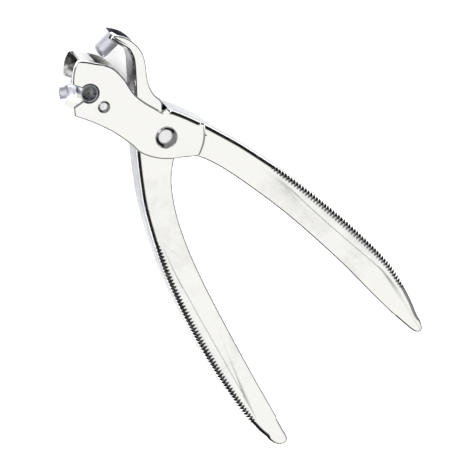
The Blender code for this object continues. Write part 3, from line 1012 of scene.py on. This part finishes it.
@dataclass
class NoseFittings:
    """The small rivet behind the keyhole, the tube on it and the leaf spring that drags on the sleeve."""

    shank: float = 1.5 * MM
    head: float = 2.2 * MM
    spacer: float = 2.3 * MM
    leaf_thickness: float = 0.4
    leaf_width: float = 6.0

    def rivet(self) -> bpy.types.Object:
        """The small rivet, domed at the near end and flat at the far end.

        Returns:
            The new object.
        """
        base = -0.7 * MM
        foot = [(0.2 * MM, base), (self.head * 0.75, base), (self.head, base + 0.35 * MM)]
        sizes = (self.shank, self.head, 0.8 * MM, foot, 0.15 * MM, 72)
        return domed_rivet("domed_nose_rivet", upright(*NOSE_RIVET_AXIS), *sizes)

    def spacer_tube(self) -> bpy.types.Object:
        """The tube that keeps the head plates apart."""
        bore, reach = self.shank + 0.05 * MM, HEAD_WIDTH / 2 - SHEET - SEAT_GAP
        return tube("nose_tube", bore, self.spacer, reach, 0.12 * MM, upright(*NOSE_RIVET_AXIS))

    def leaf(self) -> bpy.types.Object:
        """The leaf spring: rolled round the tube, then straight over the cross sleeve.

        Returns:
            The new object.
        """
        wrap = self.spacer / MM + self.leaf_thickness / 2 + 0.05
        over = (POST_AXIS[0] + 0.3, POST_AXIS[1] + 3.4)
        bends = np.vstack([arc(NOSE_RIVET_AXIS, wrap, -120, 84, 24), [(-29.0, -1.7), over, (-34.6, -1.0)]])
        plan = spline(bends, 4) * MM
        path = np.column_stack([plan, np.full(len(plan), MID_HEIGHT)])
        half, wide = self.leaf_thickness / 2 * MM, self.leaf_width / 2 * MM
        corners = np.array([(-half, -wide), (half, -wide), (half, wide), (-half, wide)])
        return swept("detent_leaf", path, (0, 0, 1), rounded(corners, 0.1 * MM, closed=True))

    def build(self, workshop: Workshop) -> None:
        """Builds the three pieces.

        Args:
            workshop: Gives them their finishes.
        """
        workshop.dress(self.rivet(), RIVET_NICKEL, Body.LOWER, "nose_rivet")
        workshop.dress(self.spacer_tube(), TURNED_STEEL, Body.LOWER, "nose_spacer")
        workshop.dress(self.leaf(), SPRING_STEEL, Body.LOWER, "detent_spring")


@dataclass
class SetterPost:
    """The round-headed post and the hollow cross sleeve that it stands in."""

    sleeve: float = 3.1 * MM
    bore: float = 2.6 * MM
    shank: float = 2.4 * MM
    head: float = 3.15 * MM
    head_height: float = 3.3 * MM
    reach: float = 10.0 * MM

    def cross_sleeve(self) -> bpy.types.Object:
        """The sleeve, as a tube with softened ends."""
        half = HEAD_WIDTH / 2 - 0.1 * MM
        return tube("hollow_cross_sleeve", self.bore, self.sleeve, half, 0.14 * MM, upright(*POST_AXIS))

    def post(self) -> bpy.types.Object:
        """The post: a spigot in the sleeve, a waisted shank and a head with a softened rim.

        Returns:
            The new object.
        """
        neck = self.reach - self.head_height
        start = self.sleeve + 0.1 * MM
        corners = [
            (0.3 * MM, self.bore - 0.1 * MM),
            (1.4 * MM, self.bore - 0.1 * MM),
            (1.4 * MM, start),
            (self.shank, start),
            (self.shank, start + 0.7 * MM),
            (self.shank - 0.25 * MM, start + 1.2 * MM),
            (self.shank - 0.25 * MM, neck - 0.5 * MM),
            (self.shank, neck),
            (self.head - 0.05 * MM, neck + 0.05 * MM),
            (self.head, neck + 0.6 * MM),
            (self.head, self.reach - 0.5 * MM),
            (self.head - 0.5 * MM, self.reach),
            (1.6 * MM, self.reach),
            (1.2 * MM, self.reach - 0.35 * MM),
            (0.3 * MM, self.reach - 0.4 * MM),
        ]
        return turned("headed_post", rounded(np.array(corners), 0.3 * MM), lying(*POST_AXIS, POST_DIRECTION))

    def build(self, workshop: Workshop) -> None:
        """Builds the two pieces.

        Args:
            workshop: Gives them their finish.
        """
        workshop.dress(self.cross_sleeve(), SPRING_STEEL, Body.POST, "post_sleeve")
        workshop.dress(self.post(), DIE_STEEL, Body.POST, "setter_post")


@dataclass
class UpperDie:
    """The round die under the hook, its rivet and the wire ring in its cup.

    The die is turned, and then its rear is stepped: behind the front of the web, a point above the seat
    plane is brought down onto it, which is z = max(z, seat + slope y) in the die's own frame.
    """

    top: tuple = (-37.2, 16.2)
    lean: float = -96.0
    seat: tuple = (-36.0, 15.0)
    seat_lean: float = -84.0
    radius: float = 3.9 * MM
    length: float = 7.9 * MM
    cup: float = 2.6 * MM
    cup_depth: float = 1.2 * MM
    step_front: float = 2.95 * MM
    stem: float = 1.2 * MM
    stem_head: float = 2.1 * MM
    stem_depth: float = 4.0 * MM
    ring: float = 2.25
    ring_wire: float = 0.25 * MM

    def die(self) -> bpy.types.Object:
        """The stepped die with its cup.

        Returns:
            The new object.
        """
        floor, bevel = self.length - self.cup_depth, 1.0 * MM
        corners = [(self.radius - 0.05 * MM, 0.0), (self.radius, 0.3 * MM)]
        corners += [(self.radius, self.length - bevel), (self.radius - bevel, self.length)]
        corners += [(self.cup, self.length), (self.cup, floor), (0.2 * MM, floor)]
        crown = np.stack([np.linspace(0.1 * MM, self.radius - 0.4 * MM, 46), np.zeros(46)], -1)
        side = rounded(np.array(corners), 0.7 * MM, 6)
        wall = np.stack([np.full(60, self.radius), np.linspace(0.4 * MM, 5.0 * MM, 60)], -1)
        profile = np.vstack([crown, side[:2], wall, side[side[:, 1] > 5.2 * MM]])
        grid = revolved(profile, 160)
        place, seat = lying(*self.top, self.lean), lying(*self.seat, self.seat_lean)
        local = np.array(seat.inverted() @ place)
        there = grid @ local[:3, :3].T + local[:3, 3]
        behind = there[..., 1] > -self.step_front
        lowered = np.where(behind & (there[..., 2] < SEAT_GAP), SEAT_GAP, there[..., 2])
        there = np.concatenate([there[..., :2], lowered[..., None]], -1)
        rows, columns = grid.shape[:2]
        faces = [grid_faces(rows, columns, False, True), end_faces(rows, columns)]
        return add_mesh("stepped_round_die", placed(there.reshape(-1, 3), seat), faces, 30)

    def rivet(self) -> bpy.types.Object:
        """The rivet through the web, with its head inside the hook.

        Returns:
            The new object.
        """
        under = -SHEET - SEAT_GAP
        corners = [(0.2 * MM, self.stem_depth), (self.stem, self.stem_depth), (self.stem, under)]
        corners += [(self.stem_head, under), (self.stem_head, under - 0.5 * MM)]
        corners += [(self.stem_head * 0.7, under - 0.9 * MM), (0.2 * MM, under - 1.0 * MM)]
        place = lying(*self.seat, self.seat_lean)
        return turned("die_holding_rivet", rounded(np.array(corners), 0.3 * MM), place)

    def snap_ring(self) -> bpy.types.Object:
        """The split wire ring that grips a snap's cap.

        Returns:
            The new object.
        """
        plan = arc((0, 0), self.ring, 20, 340, 60) * MM
        path = np.column_stack([plan, np.full(len(plan), self.length - self.cup_depth / 2)])
        place = lying(*self.top, self.lean)
        axis = (np.cos(np.radians(self.lean)), np.sin(np.radians(self.lean)), 0)
        section = arc((0, 0), self.ring_wire, 0, 360, 12)[:-1]
        return swept("split_snap_ring", placed(path, place), axis, section)

    def build(self, workshop: Workshop) -> None:
        """Builds the three pieces.

        Args:
            workshop: Gives them their finishes.
        """
        workshop.dress(self.die(), DIE_STEEL, Body.UPPER_JAW, "upper_die")
        workshop.dress(self.rivet(), TURNED_STEEL, Body.UPPER_JAW, "die_rivet")
        workshop.dress(self.snap_ring(), SPRING_STEEL, Body.UPPER_JAW, "die_snap_ring")


# Room


@dataclass
class Studio:
    """A pale floor, soft boxes overhead and the camera above the nose.

    The walls stay dim, so that the bends of the sheet show a dark line between the bright flat faces and
    the reflection of the floor.

    Attributes:
        looking_from: The direction from the pliers to the camera.
        up: What the camera shows as up.
        distance: How far the camera stands off.
        view_width: The width of what it shows.
        aim_right: How far to the right of the pivot it aims, as it sees it.
        aim_down: How far below the pivot it aims.
        floor_size: Half the floor's side.
    """

    looking_from: tuple = (-0.418, 0.0635, 0.906)
    up: tuple = (-0.553, 0.773, -0.309)
    distance: float = 1.4
    view_width: float = 0.1636
    aim_right: float = 0.02384
    aim_down: float = 0.0339
    floor_size: float = 1.6

    def floor(self) -> None:
        """A flat sheet of pale board, finely mottled."""
        side = np.linspace(-self.floor_size, self.floor_size, 9)
        x, y = np.meshgrid(side, side)
        points = np.stack([x.ravel(), y.ravel(), np.full(x.size, -0.02 * MM)], -1)
        obj = add_mesh("pale_floor", points, [grid_faces(9, 9, False, False)])
        material = bpy.data.materials.new("pale board")
        material.use_nodes = True
        tree = material.node_tree
        place = add_node(tree, "TexCoord").outputs["Object"]
        grain = add_node(tree, "TexNoise", Vector=place, Scale=900.0, Detail=3.0).outputs[0]
        greys = {"i6": (0.88, 0.88, 0.88, 1), "i7": (0.92, 0.92, 0.92, 1)}
        tone = add_node(tree, "Mix", {"data_type": "RGBA"}, i0=grain, **greys)
        shader = tree.nodes["Principled BSDF"]
        tree.links.new(tone.outputs[2], shader.inputs["Base Color"])
        shader.inputs["Roughness"].default_value = 0.9
        shader.inputs["Specular IOR Level"].default_value = 0.1
        obj.data.materials.append(material)

    def lamp(self, name: str, place: tuple, size: float, power: float, in_gloss: bool) -> None:
        """Adds a round soft box that faces the pliers.

        Args:
            name: The lamp's name.
            place: Where it hangs, in metres.
            size: Its diameter.
            power: Its power in watts.
            in_gloss: Whether reflections show it.
        """
        light = bpy.data.lights.new(name, "AREA")
        light.shape = "DISK"
        light.size = size
        light.energy = power
        obj = bpy.data.objects.new(name, light)
        obj.location = place
        obj.rotation_euler = Vector(place).to_track_quat("Z", "Y").to_euler()
        obj.visible_glossy = in_gloss
        bpy.context.scene.collection.objects.link(obj)

    def lights(self) -> None:
        """The soft boxes, and a room bright overhead, grey at its ends and dark along its two long sides."""
        world = bpy.data.worlds.new("banded room")
        world.use_nodes = True
        tree = world.node_tree
        direction = add_node(tree, "TexCoord").outputs["Generated"]
        axes = add_node(tree, "SeparateXYZ", i0=direction).outputs
        ramp = add_node(tree, "ValToRGB", i0=axes[2])
        ramp.color_ramp.interpolation = "EASE"
        stops = ((0.0, 0.3), (0.06, 0.05), (0.12, 0.01), (0.74, 0.012), (0.885, 1.0))
        for place, tone in stops:
            stop = ramp.color_ramp.elements.new(place)
            stop.color = (tone, tone, tone * 0.99 + 0.01, 1)
        ramp.color_ramp.elements.remove(ramp.color_ramp.elements[0])
        ramp.color_ramp.elements[-1].color = (1, 1, 1, 1)
        squares = [maths(tree, "MULTIPLY", axis, axis) for axis in axes[:2]]
        flat = maths(tree, "SQRT", maths(tree, "ADD", *squares))
        sideways = maths(tree, "DIVIDE", maths(tree, "ABSOLUTE", axes[1]), flat)
        ends = maths(tree, "MULTIPLY", remap(tree, sideways, 0.86, 0.62), 0.24)
        tone = maths(tree, "MAXIMUM", ramp.outputs[0], ends)
        tree.links.new(tone, tree.nodes["Background"].inputs["Color"])
        bpy.context.scene.world = world
        self.lamp("overhead_box", (0.36, -0.05, 0.78), 0.78, 1.5, False)
        self.lamp("side_box", (-0.95, 0.05, 0.42), 0.55, 0.8, True)
        self.lamp("fill_box", (0.0, 0.0, 1.0), 2.0, 26.0, False)
        around = {"left": (-1.0, 0.0), "right": (1.0, 0.0), "front": (0.0, -1.0), "back": (0.0, 1.0)}
        for name, (x, y) in around.items():
            self.lamp(name + "_box", (x, y, 0.5), 1.0, 11.0, False)

    def camera(self) -> None:
        """The camera, on a long lens so that the walls of the levers stay parallel."""
        back = Vector(self.looking_from).normalized()
        up = Vector(self.up)
        up = (up - back * up.dot(back)).normalized()
        right = up.cross(back)
        pivot = Vector((0, 0, MID_HEIGHT + HEAD_WIDTH / 2))
        aim = pivot + right * self.aim_right - up * self.aim_down
        data = bpy.data.cameras.new("camera")
        data.sensor_width = 36.0
        data.lens = data.sensor_width * self.distance / self.view_width
        data.clip_end = 10.0
        obj = bpy.data.objects.new("camera", data)
        turn = Matrix((right, up, back)).transposed().to_4x4()
        obj.matrix_world = Matrix.Translation(aim + back * self.distance) @ turn
        bpy.context.scene.collection.objects.link(obj)
        bpy.context.scene.camera = obj

    def build(self) -> None:
        """Builds the room."""
        self.floor()
        self.lights()
        self.camera()
        bpy.context.scene.view_settings.view_transform = "Standard"
        LOG.info("studio: floor, soft boxes and camera")


def main() -> None:
    """Builds the pliers, the room and the camera."""
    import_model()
    workshop = Workshop()
    for assembly in (LowerLever(), UpperLever(), Pivot(), NoseFittings(), SetterPost(), UpperDie()):
        assembly.build(workshop)
    Studio().build()


if __name__ == "__main__":
    logging.basicConfig(level=logging.INFO, format="%(name)s: %(message)s")
    main()
